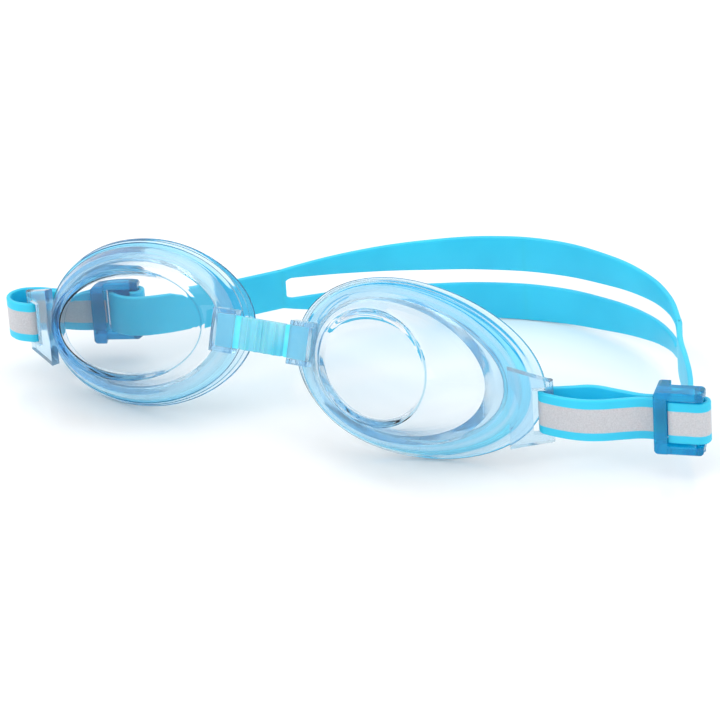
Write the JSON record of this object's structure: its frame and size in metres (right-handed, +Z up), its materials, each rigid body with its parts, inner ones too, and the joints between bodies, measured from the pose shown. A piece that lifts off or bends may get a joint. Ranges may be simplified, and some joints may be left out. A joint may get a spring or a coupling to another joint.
{
  "type": "swimming goggles",
  "caption": "Clear swimming goggles with soft translucent blue seals, a flexible nose bridge and a split silicone head strap with side buckles.",
  "frame": {"origin": "on the table, in the middle of the box round the goggles as they lie", "axes": "+X from the left eyepiece to the right one, +Y from the lenses to the back of the strap, +Z up"},
  "size_m": [0.216, 0.1104, 0.0456],
  "materials": {
    "clear_lens": "polished clear polycarbonate",
    "clear_rim": "polished clear polycarbonate with a pale blue cast",
    "soft_seal": "soft translucent pale blue silicone",
    "bridge_rubber": "soft translucent blue rubber, satin",
    "strap_silicone": "cyan blue silicone, satin",
    "printed_strap": "cyan blue silicone with one plain silver-grey printed band",
    "blue_buckle": "deep translucent blue moulded plastic",
    "buckle_bar": "deep translucent blue moulded plastic"
  },
  "bodies": {
    "bridge": {"nose_bridge": "bridge_rubber"},
    "right_eyepiece": {"lens_right": "clear_lens", "rim_right": "clear_rim", "gasket_right": "soft_seal", "bridge_end_right": "bridge_rubber"},
    "left_eyepiece": {"lens_left": "clear_lens", "rim_left": "clear_rim", "gasket_left": "soft_seal", "bridge_end_left": "bridge_rubber"},
    "right_strap": {"strap_turn_right": "strap_silicone", "strap_outer_right": "printed_strap", "strap_inner_right": "strap_silicone", "head_strap_right": "strap_silicone", "head_strap_left": "strap_silicone"},
    "left_strap": {"strap_turn_left": "strap_silicone", "strap_outer_left": "printed_strap", "strap_inner_left": "strap_silicone"},
    "right_buckle": {"buckle_right": "blue_buckle", "buckle_bar_right": "buckle_bar", "strap_tail_right": "printed_strap"},
    "left_buckle": {"buckle_left": "blue_buckle", "buckle_bar_left": "buckle_bar", "strap_tail_left": "printed_strap"},
    "upper_head_band": {"upper_band": "strap_silicone"},
    "lower_head_band": {"lower_band": "strap_silicone"}
  },
  "joints": [
    {"name": "left_bridge_flex", "type": "hinge", "parent": "bridge", "child": "left_eyepiece", "pos_m": [-0.02214, -0.03687, 0.028], "axis": [0, 0, 1], "range_deg": [-6, 3], "stiffness_Nm_per_rad": 0.05},
    {"name": "right_bridge_flex", "type": "hinge", "parent": "bridge", "child": "right_eyepiece", "pos_m": [-0.01124, -0.03687, 0.028], "axis": [0, 0, 1], "range_deg": [-3, 6], "stiffness_Nm_per_rad": 0.05},
    {"name": "right_strap_swing", "type": "hinge", "parent": "right_eyepiece", "child": "right_strap", "pos_m": [0.06531, -0.02807, 0.016], "axis": [0, 0, 1], "range_deg": [-7.11, 3.66]},
    {"name": "left_strap_swing", "type": "hinge", "parent": "left_eyepiece", "child": "left_strap", "pos_m": [-0.09869, -0.02807, 0.016], "axis": [0, 0, 1], "range_deg": [-6.77, 13.34]},
    {"name": "upper_band_spread", "type": "hinge", "parent": "right_strap", "child": "upper_head_band", "pos_m": [0.07961, 0.02533, 0.016], "axis": [0.9972, 0.0749, 0], "range_deg": [0, 20], "stiffness_Nm_per_rad": 0.02},
    {"name": "lower_band_spread", "type": "hinge", "parent": "right_strap", "child": "lower_head_band", "pos_m": [0.07961, 0.02533, 0.016], "axis": [-0.9972, -0.0749, 0], "range_deg": [0, 20], "stiffness_Nm_per_rad": 0.02},
    {"name": "right_buckle_slide", "type": "slide", "parent": "right_strap", "child": "right_buckle", "axis": [-0.9703, -0.2419, 0], "range_m": [0, 0.003]},
    {"name": "left_buckle_slide", "type": "slide", "parent": "left_strap", "child": "left_buckle", "axis": [-0.9205, -0.3907, 0], "range_m": [0, 0.003]}
  ],
  "couplings": [
    {"joint": "right_bridge_flex", "follows": "left_bridge_flex", "ratio": -1},
    {"joint": "right_strap_swing", "follows": "left_bridge_flex", "ratio": 1.152},
    {"joint": "left_strap_swing", "follows": "left_bridge_flex", "ratio": -2.19}
  ]
}
